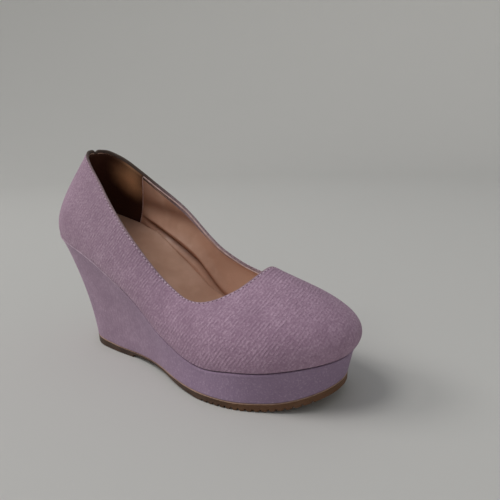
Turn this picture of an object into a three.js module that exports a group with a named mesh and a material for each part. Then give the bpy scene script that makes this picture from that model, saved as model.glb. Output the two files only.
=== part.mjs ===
// Right-foot wedge pump: hollow upper, insole, covered wedge with platform, ribbed outsole.
// Millimetres. +X runs to the toe, +Y to the inner side of the foot, +Z up from the floor.
import * as THREE from 'three';

// Sizes of the last, along the feather line, where the upper meets the wedge
const LENGTH = 222.5;
const BALL_WIDTH = 75;
const HEEL_HEIGHT = 79.5;
const PLATFORM_HEIGHT = 20;
const TOE_SPRING = 7.5;

// Sizes of the upper
const COUNTER_HEIGHT = 60;
const VAMP_HEIGHT = 46;
const VAMP_LENGTH = 51;
const COLLAR_LEAN = 33;
const THROAT_SHIFT = 4.5;
const UPPER_WALL = 1.8;

// Sizes of the insole, wedge and outsole
const INSOLE_THICKNESS = 7;
const HEEL_SETBACK = 28.5;
const TOE_SETBACK = 4;
const BACK_HOLLOW = 3;
const LUG_LENGTH = 55;
const LUG_THICKNESS = 6.2;
const ARCH_CLEARANCE = 2.8;
const RIB_PITCH = 3.6;
const RIB_LAND = 2.2;
const RIB_DEPTH = 1.3;
const RIBBED_LENGTH = 58;
const RIBS_TO_TOE = 4;
const STEP_RUN = 0.4;
const GAP = 0.3;

// Fineness of the facets
const STATIONS = 44;
const UPPER_ROWS = 11;
const WEDGE_ROWS = 9;

const OUTER = -1;
const INNER = 1;

function table(columns, rows) {
  return rows.map((row) => Object.fromEntries(columns.map((name, k) => [name, row[k]])));
}

// Feather line: half widths beside the axis, as shares of BALL_WIDTH
const FEATHER_WIDTHS = table(['at', 'outer', 'inner'], [
  [0.00, 0.000, 0.000],
  [0.04, 0.215, 0.225],
  [0.10, 0.343, 0.327],
  [0.15, 0.376, 0.357],
  [0.20, 0.390, 0.378],
  [0.32, 0.410, 0.350],
  [0.45, 0.414, 0.330],
  [0.57, 0.457, 0.385],
  [0.67, 0.496, 0.455],
  [0.77, 0.508, 0.478],
  [0.87, 0.455, 0.434],
  [0.95, 0.297, 0.318],
  [1.00, 0.000, 0.000],
]);

// Feather line: pitch as a share of the heel's height over the platform, spring of TOE_SPRING
const FEATHER_RISE = table(['at', 'pitch', 'spring'], [
  [0.00, 1.000, 0.00],
  [0.12, 0.870, 0.00],
  [0.25, 0.725, 0.00],
  [0.40, 0.450, 0.00],
  [0.55, 0.090, 0.00],
  [0.68, -0.045, 0.00],
  [0.80, 0.010, 0.00],
  [0.92, 0.000, 0.62],
  [1.00, 0.000, 1.00],
]);

// Topline: half widths as shares of BALL_WIDTH, rises as shares of the height that goes
// evenly from COUNTER_HEIGHT at the back to VAMP_HEIGHT at the throat
const TOPLINE = table(['at', 'outer', 'inner', 'outerRise', 'innerRise'], [
  [0.000, 0.000, 0.000, 1.000, 1.000],
  [0.022, 0.113, 0.115, 1.010, 1.012],
  [0.054, 0.164, 0.157, 0.980, 1.000],
  [0.094, 0.193, 0.187, 0.935, 0.985],
  [0.183, 0.232, 0.240, 0.828, 0.925],
  [0.253, 0.264, 0.280, 0.744, 0.880],
  [0.391, 0.313, 0.336, 0.640, 0.832],
  [0.615, 0.330, 0.345, 0.574, 0.775],
  [0.807, 0.390, 0.372, 0.646, 0.729],
  [0.936, 0.273, 0.258, 0.805, 0.810],
  [1.000, 0.000, 0.000, 1.000, 1.000],
]);

// Ribs of the upper, each a cubic curve from the feather line up to the topline. The lower
// handle stands out by a share of BALL_WIDTH and up by a share of the rib's height. The upper
// handle runs back down by shares of the rib's plan length and height, and stands out too.
const RIBS = table(['at', 'lowOut', 'lowRise', 'topRun', 'topDrop', 'topOut'], [
  [0.00, 0.049, 0.315, 0.150, 0.330, 0.080],
  [0.10, 0.060, 0.315, 0.210, 0.340, 0.070],
  [0.30, 0.040, 0.340, 0.330, 0.327, 0.018],
  [0.50, 0.043, 0.380, 0.340, 0.290, 0.024],
  [0.70, 0.061, 0.500, 0.360, 0.190, 0.035],
  [0.85, 0.067, 0.620, 0.440, 0.100, 0.043],
  [1.00, 0.235, 0.470, 0.496, 0.215, 0.006],
]);

// Footprint of wedge and outsole: half widths as shares of BALL_WIDTH
const FOOTPRINT = table(['at', 'outer', 'inner'], [
  [0.00, 0.000, 0.000],
  [0.04, 0.190, 0.190],
  [0.10, 0.290, 0.280],
  [0.20, 0.324, 0.315],
  [0.32, 0.335, 0.310],
  [0.45, 0.400, 0.316],
  [0.57, 0.497, 0.375],
  [0.67, 0.542, 0.445],
  [0.77, 0.518, 0.477],
  [0.87, 0.413, 0.433],
  [0.95, 0.278, 0.310],
  [1.00, 0.000, 0.000],
]);

// Outsole: clearance under the arch as a share of ARCH_CLEARANCE, spring as a share of
// TOE_SPRING, top as a share of LUG_THICKNESS
const OUTSOLE_RISE = table(['at', 'clearance', 'spring', 'top'], [
  [0.00, 0.65, 0.00, 1.00],
  [0.15, 0.65, 0.00, 0.82],
  [0.29, 0.65, 0.00, 0.65],
  [0.40, 1.00, 0.00, 0.76],
  [0.50, 0.75, 0.00, 0.73],
  [0.60, 0.22, 0.00, 0.68],
  [0.67, 0.00, 0.00, 0.70],
  [0.80, 0.00, 0.00, 0.71],
  [0.90, 0.00, 0.22, 0.71],
  [1.00, 0.00, 1.00, 0.69],
]);

// Hollow of the wedge's side, as a share of BACK_HOLLOW
const WEDGE_HOLLOW = table(['at', 'hollow'], [
  [0.00, 1.00],
  [0.15, 0.80],
  [0.40, 0.45],
  [0.70, 0.10],
  [1.00, 0.00],
]);

// Stations lie closer together at both ends, so that the outlines come out round there
const shareOf = (turn) => (1 - Math.cos(Math.PI * turn)) / 2;
const turnOf = (share) => Math.acos(1 - 2 * share) / Math.PI;

function cubic(rows, column, place, measure, flatEnds = false) {
  const x = rows.map((row) => measure(row.at));
  const y = rows.map((row) => row[column]);
  const q = measure(place);
  const last = x.length - 1;
  const run = x.slice(1).map((value, k) => value - x[k]);
  const rate = run.map((length, k) => (y[k + 1] - y[k]) / length);
  const slope = y.map((_, k) => {
    if (k === 0 || k === last) return 0;
    return (rate[k - 1] * run[k] + rate[k] * run[k - 1]) / (run[k - 1] + run[k]);
  });
  if (!flatEnds) {
    slope[0] = 1.5 * rate[0] - 0.5 * slope[1];
    slope[last] = 1.5 * rate[last - 1] - 0.5 * slope[last - 1];
  }
  let k = 0;
  while (k < last - 1 && q > x[k + 1]) k += 1;
  const t = (q - x[k]) / run[k];
  return y[k] * (2 * t ** 3 - 3 * t ** 2 + 1)
    + run[k] * slope[k] * (t ** 3 - 2 * t ** 2 + t)
    + y[k + 1] * (3 * t ** 2 - 2 * t ** 3)
    + run[k] * slope[k + 1] * (t ** 3 - t ** 2);
}

// Widths are read over the turn, and so is what goes on evenly round the back and the toe.
// Heights are read over the straight length.
const across = (rows, column, at) => cubic(rows, column, at, turnOf);
const around = (rows, column, at) => cubic(rows, column, at, turnOf, true);
const along = (rows, column, at) => cubic(rows, column, at, (share) => share);
const lerp = THREE.MathUtils.lerp;

function lastHeight(at) {
  return PLATFORM_HEIGHT
    + (HEEL_HEIGHT - PLATFORM_HEIGHT) * along(FEATHER_RISE, 'pitch', at)
    + TOE_SPRING * along(FEATHER_RISE, 'spring', at);
}

function feather(at, side) {
  const half = BALL_WIDTH * across(FEATHER_WIDTHS, side === OUTER ? 'outer' : 'inner', at);
  return new THREE.Vector3(LENGTH * at, side * half, lastHeight(at));
}

function topline(at, side) {
  const outer = side === OUTER;
  const half = BALL_WIDTH * across(TOPLINE, outer ? 'outer' : 'inner', at);
  const rise = around(TOPLINE, outer ? 'outerRise' : 'innerRise', at);
  const x = lerp(COLLAR_LEAN, LENGTH - VAMP_LENGTH, at);
  const y = side * half + THROAT_SHIFT * at ** 3;
  const z = lastHeight(x / LENGTH) + rise * lerp(COUNTER_HEIGHT, VAMP_HEIGHT, at);
  return new THREE.Vector3(x, y, z);
}

function footprint(at, side) {
  const half = BALL_WIDTH * across(FOOTPRINT, side === OUTER ? 'outer' : 'inner', at);
  return new THREE.Vector3(lerp(HEEL_SETBACK, LENGTH - TOE_SETBACK, at), side * half, 0);
}

// A loop runs from the back along the outer side to the toe and home along the inner side
function loop(point, places) {
  const outer = places.map((at) => point(at, OUTER));
  const inner = places.slice(1, -1).reverse().map((at) => point(at, INNER));
  return [...outer, ...inner];
}

function evenStations() {
  return Array.from({ length: STATIONS + 1 }, (_, k) => shareOf(k / STATIONS));
}

const neighbours = (ring, k) => [
  ring[(k + ring.length - 1) % ring.length],
  ring[(k + 1) % ring.length],
];

// Outward directions of a loop in plan
function outwards(ring) {
  return ring.map((_, k) => {
    const [before, after] = neighbours(ring, k);
    return new THREE.Vector3(after.y - before.y, before.x - after.x, 0).normalize();
  });
}

function inset(ring, distance) {
  const out = outwards(ring);
  return ring.map((point, k) => point.clone().addScaledVector(out[k], -distance));
}

// Closed mesh from a stack of loops, either bent round to its own start or closed by two lids
function solidOfLoops(rings, endsMeet) {
  const count = rings[0].length;
  const position = rings.flat().flatMap((point) => [point.x, point.y, point.z]);
  const faces = [];
  const rowPairs = endsMeet ? rings.length : rings.length - 1;
  for (let row = 0; row < rowPairs; row += 1) {
    const low = row * count;
    const high = ((row + 1) % rings.length) * count;
    for (let k = 0; k < count; k += 1) {
      const next = (k + 1) % count;
      faces.push(low + k, low + next, high + next, low + k, high + next, high + k);
    }
  }
  if (!endsMeet) {
    addLid(faces, 0, count, false);
    addLid(faces, (rings.length - 1) * count, count, true);
  }
  const geometry = new THREE.BufferGeometry();
  geometry.setAttribute('position', new THREE.Float32BufferAttribute(position, 3));
  geometry.setIndex(faces);
  geometry.computeVertexNormals();
  return geometry;
}

// A lid spans a loop from the outer to the inner side, station by station
function addLid(faces, start, count, facesUp) {
  const half = count / 2;
  const addFace = (a, b, c) => {
    faces.push(start + a, start + (facesUp ? b : c), start + (facesUp ? c : b));
  };
  for (let k = 0; k < half; k += 1) {
    if (k < half - 1) addFace(k, k + 1, count - k - 1);
    if (k > 0) addFace(k, count - k - 1, count - k);
  }
}

function ribPoint(foot, head, out, at, share) {
  const rib = (column) => around(RIBS, column, at);
  const height = head.z - foot.z;
  const low = foot.clone().addScaledVector(out, BALL_WIDTH * rib('lowOut'));
  low.z += height * rib('lowRise');
  const top = head.clone().addScaledVector(out, BALL_WIDTH * rib('topOut'));
  top.x += (foot.x - head.x) * rib('topRun');
  top.y += (foot.y - head.y) * rib('topRun');
  top.z -= height * rib('topDrop');
  return new THREE.CubicBezierCurve3(foot, low, top, head).getPoint(share);
}

function upperSurface() {
  const places = evenStations();
  const all = [...places, ...places.slice(1, -1).reverse()];
  const feet = loop(feather, places);
  const heads = loop(topline, places);
  const out = outwards(feet);
  return Array.from({ length: UPPER_ROWS }, (_, row) => all.map((at, k) => (
    ribPoint(feet[k], heads[k], out[k], at, row / (UPPER_ROWS - 1)))));
}

function surfaceNormal(rings, row, k) {
  const [before, after] = neighbours(rings[row], k);
  const below = rings[Math.max(row - 1, 0)][k];
  const above = rings[Math.min(row + 1, rings.length - 1)][k];
  return after.clone().sub(before).cross(above.clone().sub(below)).normalize();
}

function upperGeometry() {
  const outside = upperSurface();
  const inside = outside.map((ring, row) => ring.map((point, k) => (
    point.clone().addScaledVector(surfaceNormal(outside, row, k), -UPPER_WALL))));
  return solidOfLoops([...outside, ...inside.reverse()], true);
}

function insoleGeometry() {
  const edge = inset(loop(feather, evenStations()), UPPER_WALL + 2 * GAP);
  const lifted = (ring, rise) => ring.map(({ x, y }) => (
    new THREE.Vector3(x, y, lastHeight(x / LENGTH) + rise)));
  const rounded = inset(edge, INSOLE_THICKNESS / 4);
  return solidOfLoops([
    lifted(edge, 0),
    lifted(edge, INSOLE_THICKNESS * 0.6),
    lifted(rounded, INSOLE_THICKNESS),
  ], false);
}

// The underside of the forefoot lies flat on the floor
function outsoleUnderside(at) {
  const rise = ARCH_CLEARANCE * along(OUTSOLE_RISE, 'clearance', at)
    + TOE_SPRING * along(OUTSOLE_RISE, 'spring', at);
  return Math.max(0, rise);
}

function outsoleTop(at) {
  return LUG_THICKNESS * along(OUTSOLE_RISE, 'top', at)
    + TOE_SPRING * along(OUTSOLE_RISE, 'spring', at);
}

function wedgeGeometry() {
  const places = evenStations();
  const all = [...places, ...places.slice(1, -1).reverse()];
  const bottom = loop(footprint, places);
  const top = loop(feather, places);
  const out = outwards(bottom);
  const rings = Array.from({ length: WEDGE_ROWS }, (_, row) => {
    const share = row / (WEDGE_ROWS - 1);
    return all.map((at, k) => {
      const point = bottom[k].clone().lerp(top[k], share);
      const hollow = BACK_HOLLOW * along(WEDGE_HOLLOW, 'hollow', at) * 4 * share * (1 - share);
      point.addScaledVector(out[k], -hollow);
      point.z = lerp(outsoleTop(at) + GAP, top[k].z - GAP, share);
      return point;
    });
  });
  return solidOfLoops(rings, false);
}

// Stations of the outsole, as distances from its back: the step in front of the heel lug, then
// a land and a groove for each rib of the forefoot
function outsoleGeometry() {
  const length = LENGTH - TOE_SETBACK - HEEL_SETBACK;
  const ribsEnd = length - RIBS_TO_TOE;
  const ribCount = Math.floor(RIBBED_LENGTH / RIB_PITCH);
  const ribsBegin = ribsEnd - ribCount * RIB_PITCH;
  const bottomAt = new Map();
  for (const at of evenStations()) {
    const x = at * length;
    const onStep = Math.abs(x - LUG_LENGTH) < 2 * STEP_RUN;
    const onRibs = x > ribsBegin - STEP_RUN && x < ribsEnd + STEP_RUN;
    if (!onStep && !onRibs) bottomAt.set(x, x < LUG_LENGTH ? 0 : outsoleUnderside(at));
  }
  bottomAt.set(LUG_LENGTH, 0);
  bottomAt.set(LUG_LENGTH + STEP_RUN, outsoleUnderside((LUG_LENGTH + STEP_RUN) / length));
  for (let rib = 0; rib < ribCount; rib += 1) {
    const start = ribsBegin + rib * RIB_PITCH;
    const grooveEnd = RIB_PITCH - RIB_LAND;
    const marks = [
      [0, RIB_DEPTH],
      [grooveEnd - STEP_RUN, RIB_DEPTH],
      [grooveEnd, 0],
      [RIB_PITCH - STEP_RUN, 0],
    ];
    for (const [offset, depth] of marks) {
      const x = start + offset;
      bottomAt.set(x, outsoleUnderside(x / length) + depth);
    }
  }
  const xs = [...bottomAt.keys()].sort((a, b) => a - b);
  const levelled = (level) => loop((x, side) => {
    const point = footprint(x / length, side);
    point.z = level(x);
    return point;
  }, xs);
  return solidOfLoops([levelled((x) => bottomAt.get(x)), levelled((x) => outsoleTop(x / length))], false);
}

function mesh(name, geometry, color, roughness) {
  const made = new THREE.Mesh(geometry, new THREE.MeshStandardMaterial({ color, roughness, metalness: 0 }));
  made.name = name;
  return made;
}

const shoe = new THREE.Group();
shoe.add(mesh('upper', upperGeometry(), 0x9c84a0, 0.9));
shoe.add(mesh('insole', insoleGeometry(), 0xa98266, 0.7));
shoe.add(mesh('wedge', wedgeGeometry(), 0x8f7d9e, 0.9));
shoe.add(mesh('outsole', outsoleGeometry(), 0x5a4034, 0.6));

// The origin is the middle of the bounding box, on the floor
const box = new THREE.Box3().setFromObject(shoe);
const middle = box.getCenter(new THREE.Vector3());
shoe.position.set(-middle.x, -middle.y, -box.min.z);
shoe.updateMatrixWorld(true);

export default shoe;
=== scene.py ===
# Looks of the right-foot wedge pump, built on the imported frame.
# Metres. +X runs to the toe, +Y to the inner side of the foot, +Z up from the floor.
import math

import bpy
import numpy as np
from mathutils import Matrix, Vector


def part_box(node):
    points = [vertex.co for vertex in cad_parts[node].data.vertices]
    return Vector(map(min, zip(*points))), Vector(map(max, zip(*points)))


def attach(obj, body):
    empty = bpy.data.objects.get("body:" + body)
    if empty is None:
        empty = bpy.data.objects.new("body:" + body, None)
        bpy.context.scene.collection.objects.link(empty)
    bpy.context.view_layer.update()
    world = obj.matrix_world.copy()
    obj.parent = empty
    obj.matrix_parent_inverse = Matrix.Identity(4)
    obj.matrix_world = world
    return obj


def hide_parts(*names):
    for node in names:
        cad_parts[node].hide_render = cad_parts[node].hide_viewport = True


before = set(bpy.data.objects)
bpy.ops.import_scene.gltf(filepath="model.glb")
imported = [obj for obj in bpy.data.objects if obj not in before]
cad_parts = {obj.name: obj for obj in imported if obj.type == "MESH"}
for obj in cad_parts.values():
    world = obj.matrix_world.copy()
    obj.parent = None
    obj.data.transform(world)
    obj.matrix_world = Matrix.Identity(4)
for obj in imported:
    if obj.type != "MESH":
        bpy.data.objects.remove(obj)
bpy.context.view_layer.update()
MM = 0.001

# The last's axis starts at the back of the wedge's top
WEDGE_LOW, WEDGE_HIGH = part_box("wedge")
WEDGE_BACK = min((v.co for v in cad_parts["wedge"].data.vertices), key=lambda co: co.x)
AXIS_X = WEDGE_LOW.x
AXIS_Y = WEDGE_BACK.y
LENGTH = WEDGE_HIGH.x - WEDGE_LOW.x

# Sizes of the solids
BALL_WIDTH = 75 * MM
HEEL_HEIGHT = 79.5 * MM
PLATFORM_HEIGHT = 20 * MM
TOE_SPRING = 7.5 * MM
COUNTER_HEIGHT = 60 * MM
VAMP_HEIGHT = 46 * MM
VAMP_LENGTH = 51 * MM
COLLAR_LEAN = 33 * MM
THROAT_SHIFT = 4.5 * MM
UPPER_WALL = 1.8 * MM
INSOLE_THICKNESS = 7 * MM
HEEL_SETBACK = 28.5 * MM
TOE_SETBACK = 4 * MM
BACK_HOLLOW = 3 * MM
LUG_LENGTH = 55 * MM
LUG_THICKNESS = 6.2 * MM
ARCH_CLEARANCE = 2.8 * MM
RIB_PITCH = 3.6 * MM
RIB_LAND = 2.2 * MM
RIB_DEPTH = 1.3 * MM
RIBBED_LENGTH = 58 * MM
RIBS_TO_TOE = 4 * MM
GAP = 0.3 * MM

# Sewn and folded details, which the solids leave out
FOLD_RADIUS = UPPER_WALL / 2
FOLD_TURN_IN = 3.4 * MM
LINING_DROP_AT_HEEL = 1.7 * MM
LINING_DROP_IN_FRONT = 0.9 * MM
LINING_DEPTH = 2.1 * MM
LINING_BEAD = 0.5 * MM
WRAP_EDGE_RADIUS = 0.34 * MM
STITCH_INSET = 1.8 * MM
STITCH_PITCH = 2.6 * MM
STITCH_LENGTH = 1.7 * MM
STITCH_RADIUS = 0.33 * MM
BACK_NOTCH = 0.9 * MM
SEAM_WIDTH = 0.55 * MM
GRAIN_PITCH = 1.78 * MM
GRAIN_SLANT = (1.0, 0.3, -0.8)
GRAIN_WAVER = 7.0
SOCK_RIM_AT_HEEL = 9.3 * MM
SOCK_RIM_AT_BALL = 7.1 * MM
SOCK_ARCH_RISE = 3.2 * MM
SOCK_HOLLOW = 0.9 * MM
STITCH_LIFT = 0.08 * MM
HOLE_HALF_LENGTH = 0.42 * MM
HOLE_RADIUS = 0.26 * MM

# How the cloth lies: tucked in at the feather line, drawn in by its seams, pulled over the last
TUCK_RADIUS_AT_HEEL = 0.25 * MM
TUCK_RADIUS_IN_FRONT = 1.0 * MM
STITCH_PULL = 0.22 * MM
SEAM_PULL = 0.5 * MM
DENT_DEPTH = 0.35 * MM
UPPER_WAVE = 0.13 * MM
LINING_WAVE = 0.12 * MM
WRAP_WAVE = 0.1 * MM
WRAP_LIP = 0.55 * MM

# Camera of the photograph, worked out from the shoe's own curves
AZIMUTH = 37.0
ELEVATION = 13.3
ROLL = -1.9
DISTANCE = 310 * MM
TARGET_ALONG = 112.5 * MM
TARGET_HEIGHT = 60 * MM
TARGET_PIXEL = (186.3, 264.3)
IMAGE_SIDE = 500
FOCAL_PIXELS = 500
SENSOR_MM = 36

# Studio, in metres
FLOOR_RADIUS = 1.3
FLOOR_BEND = 0.8
WALL_TOP = 1.3
FLOOR_SIDES = 96
LIGHT_AIM = (0, 0, 0.05)
LIGHT_COLOUR = (1.0, 0.98, 0.96)

# Fineness of the meshes
RIB_ROWS = 160
TUBE_SIDES = 8
BEAD_RINGS = 7
HEEL_LINING_ROWS = 60
TANGENT_STEP = 0.002


def table(columns, rows):
    return {name: np.array(values, float) for name, values in zip(columns, zip(*rows))}


# Feather line: half widths beside the axis, as shares of BALL_WIDTH
FEATHER_WIDTHS = table(["at", "outer", "inner"], [
    [0.00, 0.000, 0.000],
    [0.04, 0.215, 0.225],
    [0.10, 0.343, 0.327],
    [0.15, 0.376, 0.357],
    [0.20, 0.390, 0.378],
    [0.32, 0.410, 0.350],
    [0.45, 0.414, 0.330],
    [0.57, 0.457, 0.385],
    [0.67, 0.496, 0.455],
    [0.77, 0.508, 0.478],
    [0.87, 0.455, 0.434],
    [0.95, 0.297, 0.318],
    [1.00, 0.000, 0.000],
])

# Feather line: pitch as a share of the heel's height over the platform, spring of TOE_SPRING
FEATHER_RISE = table(["at", "pitch", "spring"], [
    [0.00, 1.000, 0.00],
    [0.12, 0.870, 0.00],
    [0.25, 0.725, 0.00],
    [0.40, 0.450, 0.00],
    [0.55, 0.090, 0.00],
    [0.68, -0.045, 0.00],
    [0.80, 0.010, 0.00],
    [0.92, 0.000, 0.62],
    [1.00, 0.000, 1.00],
])

# Topline: half widths as shares of BALL_WIDTH, rises as shares of the height that goes
# evenly from COUNTER_HEIGHT at the back to VAMP_HEIGHT at the throat
TOPLINE = table(["at", "outer", "inner", "outer_rise", "inner_rise"], [
    [0.000, 0.000, 0.000, 1.000, 1.000],
    [0.022, 0.113, 0.115, 1.010, 1.012],
    [0.054, 0.164, 0.157, 0.980, 1.000],
    [0.094, 0.193, 0.187, 0.935, 0.985],
    [0.183, 0.232, 0.240, 0.828, 0.925],
    [0.253, 0.264, 0.280, 0.744, 0.880],
    [0.391, 0.313, 0.336, 0.640, 0.832],
    [0.615, 0.330, 0.345, 0.574, 0.775],
    [0.807, 0.390, 0.372, 0.646, 0.729],
    [0.936, 0.273, 0.258, 0.805, 0.810],
    [1.000, 0.000, 0.000, 1.000, 1.000],
])

# Handles of the upper's ribs, as in the solids
RIBS = table(["at", "low_out", "low_rise", "top_run", "top_drop", "top_out"], [
    [0.00, 0.049, 0.315, 0.150, 0.330, 0.080],
    [0.10, 0.060, 0.315, 0.210, 0.340, 0.070],
    [0.30, 0.040, 0.340, 0.330, 0.327, 0.018],
    [0.50, 0.043, 0.380, 0.340, 0.290, 0.024],
    [0.70, 0.061, 0.500, 0.360, 0.190, 0.035],
    [0.85, 0.067, 0.620, 0.440, 0.100, 0.043],
    [1.00, 0.235, 0.470, 0.496, 0.215, 0.006],
])

# Footprint of wedge and outsole: half widths as shares of BALL_WIDTH
FOOTPRINT = table(["at", "outer", "inner"], [
    [0.00, 0.000, 0.000],
    [0.04, 0.190, 0.190],
    [0.10, 0.290, 0.280],
    [0.20, 0.324, 0.315],
    [0.32, 0.335, 0.310],
    [0.45, 0.400, 0.316],
    [0.57, 0.497, 0.375],
    [0.67, 0.542, 0.445],
    [0.77, 0.518, 0.477],
    [0.87, 0.413, 0.433],
    [0.95, 0.278, 0.310],
    [1.00, 0.000, 0.000],
])

# Outsole: clearance under the arch as a share of ARCH_CLEARANCE, spring as a share of
# TOE_SPRING, top as a share of LUG_THICKNESS
OUTSOLE_RISE = table(["at", "clearance", "spring", "top"], [
    [0.00, 0.65, 0.00, 1.00],
    [0.15, 0.65, 0.00, 0.82],
    [0.29, 0.65, 0.00, 0.65],
    [0.40, 1.00, 0.00, 0.76],
    [0.50, 0.75, 0.00, 0.73],
    [0.60, 0.22, 0.00, 0.68],
    [0.67, 0.00, 0.00, 0.70],
    [0.80, 0.00, 0.00, 0.71],
    [0.90, 0.00, 0.22, 0.71],
    [1.00, 0.00, 1.00, 0.69],
])

# Hollow of the wedge's side, as a share of BACK_HOLLOW
WEDGE_HOLLOW = table(["at", "hollow"], [
    [0.00, 1.00],
    [0.15, 0.80],
    [0.40, 0.45],
    [0.70, 0.10],
    [1.00, 0.00],
])

# Crease in the lining of the inner side: heights of its groove, of the ridge over it and of the
# soft trough above, all over the feather line, and how far the ridge stands out
CREASE = table(["at", "groove", "ridge", "trough", "depth"], [
    [0.20, 15.0 * MM, 16.4 * MM, 26.0 * MM, 0.0 * MM],
    [0.24, 14.6 * MM, 17.8 * MM, 27.2 * MM, 2.2 * MM],
    [0.29, 15.0 * MM, 19.6 * MM, 29.6 * MM, 3.4 * MM],
    [0.34, 15.2 * MM, 20.2 * MM, 33.0 * MM, 3.9 * MM],
    [0.42, 15.6 * MM, 21.2 * MM, 37.5 * MM, 4.1 * MM],
    [0.46, 15.2 * MM, 20.4 * MM, 38.0 * MM, 3.8 * MM],
    [0.49, 12.0 * MM, 16.8 * MM, 38.0 * MM, 3.1 * MM],
    [0.53, 7.5 * MM, 11.0 * MM, 38.0 * MM, 1.7 * MM],
    [0.56, 6.0 * MM, 9.0 * MM, 38.0 * MM, 0.0 * MM],
])
# Height over which the roll falls flat again, then its lip and drawn-in band, as shares of depth
CREASE_ROLL_HEIGHT = 11 * MM
CREASE_LIP = 0.8
CREASE_DRAWN_IN = 0.3

# The lining's edge drops less below the topline between these two places along the shoe
LINING_DROP_FROM = 75 * MM
LINING_DROP_TO = 105 * MM

# Front edge of the heel lining, a slanting line in side view, then where it starts and ends up
# the ribs, and how far it stands out from the lining and is tucked behind it at its edges
HEEL_LINING_FOOT = (42.4 * MM, 77.5 * MM)
HEEL_LINING_HEAD = (58.8 * MM, 110.9 * MM)
HEEL_LINING_BASE = 0.07
HEEL_LINING_TOP = 0.972
HEEL_LINING_LIFT = 0.75 * MM
HEEL_LINING_TUCK = 0.1 * MM

# The heel lining has a painted pool of light, where light falls in at its front
LIT_PATCH_ALONG = 45.5 * MM
LIT_PATCH_HEIGHT = 108.0 * MM
LIT_PATCH_CORE = 2.0 * MM
LIT_PATCH_REACH = 19.0 * MM

# Soil and painted shade on the turned topline fade out between these two, forwards and to the outer side
SOIL_AND_SHADE_TO = 48 * MM
SOIL_AND_SHADE_GONE_FROM = 78 * MM

# The wedge cover's edge, coloured paler as a painted highlight, thins out between these shares of the length
# and ends at the second
WRAP_EDGE_THINS = 0.34
WRAP_EDGE_ENDS = 0.42


# Curves and surfaces. A place on a loop runs from -1 at the toe along the inner side to 0 at the
# back, and on along the outer side to 1 at the toe.

def share_of(turn):
    return (1 - np.cos(np.pi * turn)) / 2


def turn_of(share):
    return np.arccos(np.clip(1 - 2 * share, -1, 1)) / np.pi


def cubic(rows, column, place, measure, flat_ends=False):
    x = measure(rows["at"])
    y = rows[column]
    q = measure(place)
    run = np.diff(x)
    rate = np.diff(y) / run
    slope = np.zeros_like(y)
    slope[1:-1] = (rate[:-1] * run[1:] + rate[1:] * run[:-1]) / (run[:-1] + run[1:])
    if not flat_ends:
        slope[0] = 1.5 * rate[0] - 0.5 * slope[1]
        slope[-1] = 1.5 * rate[-1] - 0.5 * slope[-2]
    k = np.clip(np.searchsorted(x, q, side="right") - 1, 0, len(run) - 1)
    t = (q - x[k]) / run[k]
    return (y[k] * (2 * t**3 - 3 * t**2 + 1)
            + run[k] * slope[k] * (t**3 - 2 * t**2 + t)
            + y[k + 1] * (3 * t**2 - 2 * t**3)
            + run[k] * slope[k + 1] * (t**3 - t**2))


def across(rows, column, at):
    return cubic(rows, column, at, turn_of)


def around(rows, column, at):
    return cubic(rows, column, at, turn_of, flat_ends=True)


def along(rows, column, at):
    return cubic(rows, column, at, lambda share: share)


def lerp(low, high, share):
    return low + (high - low) * share


def by_side(place, outer, inner):
    return np.where(place >= 0, outer, inner)


def side_of(place):
    return np.where(place >= 0, -1.0, 1.0)


def points(x, y, z):
    return np.stack(np.broadcast_arrays(x, y, z), -1)


def last_height(at):
    return (PLATFORM_HEIGHT
            + (HEEL_HEIGHT - PLATFORM_HEIGHT) * along(FEATHER_RISE, "pitch", at)
            + TOE_SPRING * along(FEATHER_RISE, "spring", at))


def half_width(rows, place, at):
    return BALL_WIDTH * by_side(place, across(rows, "outer", at), across(rows, "inner", at))


def feather(place):
    at = share_of(np.abs(place))
    return points(LENGTH * at, side_of(place) * half_width(FEATHER_WIDTHS, place, at), last_height(at))


def topline(place):
    at = share_of(np.abs(place))
    rise = by_side(place, around(TOPLINE, "outer_rise", at), around(TOPLINE, "inner_rise", at))
    x = lerp(COLLAR_LEAN, LENGTH - VAMP_LENGTH, at)
    y = side_of(place) * half_width(TOPLINE, place, at) + THROAT_SHIFT * at**3
    return points(x, y, last_height(x / LENGTH) + rise * lerp(COUNTER_HEIGHT, VAMP_HEIGHT, at))


def footprint(place, at=None):
    at = share_of(np.abs(place)) if at is None else at
    x = lerp(HEEL_SETBACK, LENGTH - TOE_SETBACK, at)
    return points(x, side_of(place) * half_width(FOOTPRINT, place, at), 0)


def wrapped(place):
    return (place + 1) % 2 - 1


def outward(curve, place):
    travel = curve(wrapped(place + TANGENT_STEP)) - curve(wrapped(place - TANGENT_STEP))
    out = points(travel[..., 1], -travel[..., 0], 0)
    return out / np.linalg.norm(out, axis=-1, keepdims=True)


def stations(count):
    return np.linspace(-1, 1, count, endpoint=False)


def rib_points(place, share):
    """The upper's outer surface: share is 0 at the feather line and 1 at the topline."""
    place, share = np.broadcast_arrays(place, share)
    at = share_of(np.abs(place))
    rib = {name: around(RIBS, name, at)[..., None] for name in RIBS if name != "at"}
    foot = feather(place)
    head = topline(place)
    out = outward(feather, place)
    up = np.array([0, 0, 1.0])
    height = (head - foot)[..., 2:]
    low = foot + out * BALL_WIDTH * rib["low_out"] + up * height * rib["low_rise"]
    top = head + (foot - head) * [1, 1, 0] * rib["top_run"]
    top = top - up * height * rib["top_drop"] + out * BALL_WIDTH * rib["top_out"]
    t = share[..., None]
    return (1 - t)**3 * foot + 3 * (1 - t)**2 * t * low + 3 * (1 - t) * t**2 * top + t**3 * head


def unit(vectors):
    return vectors / np.maximum(np.linalg.norm(vectors, axis=-1, keepdims=True), 1e-12)


def grid_normals(grid, closed=True):
    """Outward normals of a grid of rows that run round a loop, stacked upwards."""
    if closed:
        round_step = np.roll(grid, -1, axis=1) - np.roll(grid, 1, axis=1)
    else:
        round_step = np.gradient(grid, axis=1)
    return unit(np.cross(round_step, np.gradient(grid, axis=0)))


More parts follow.
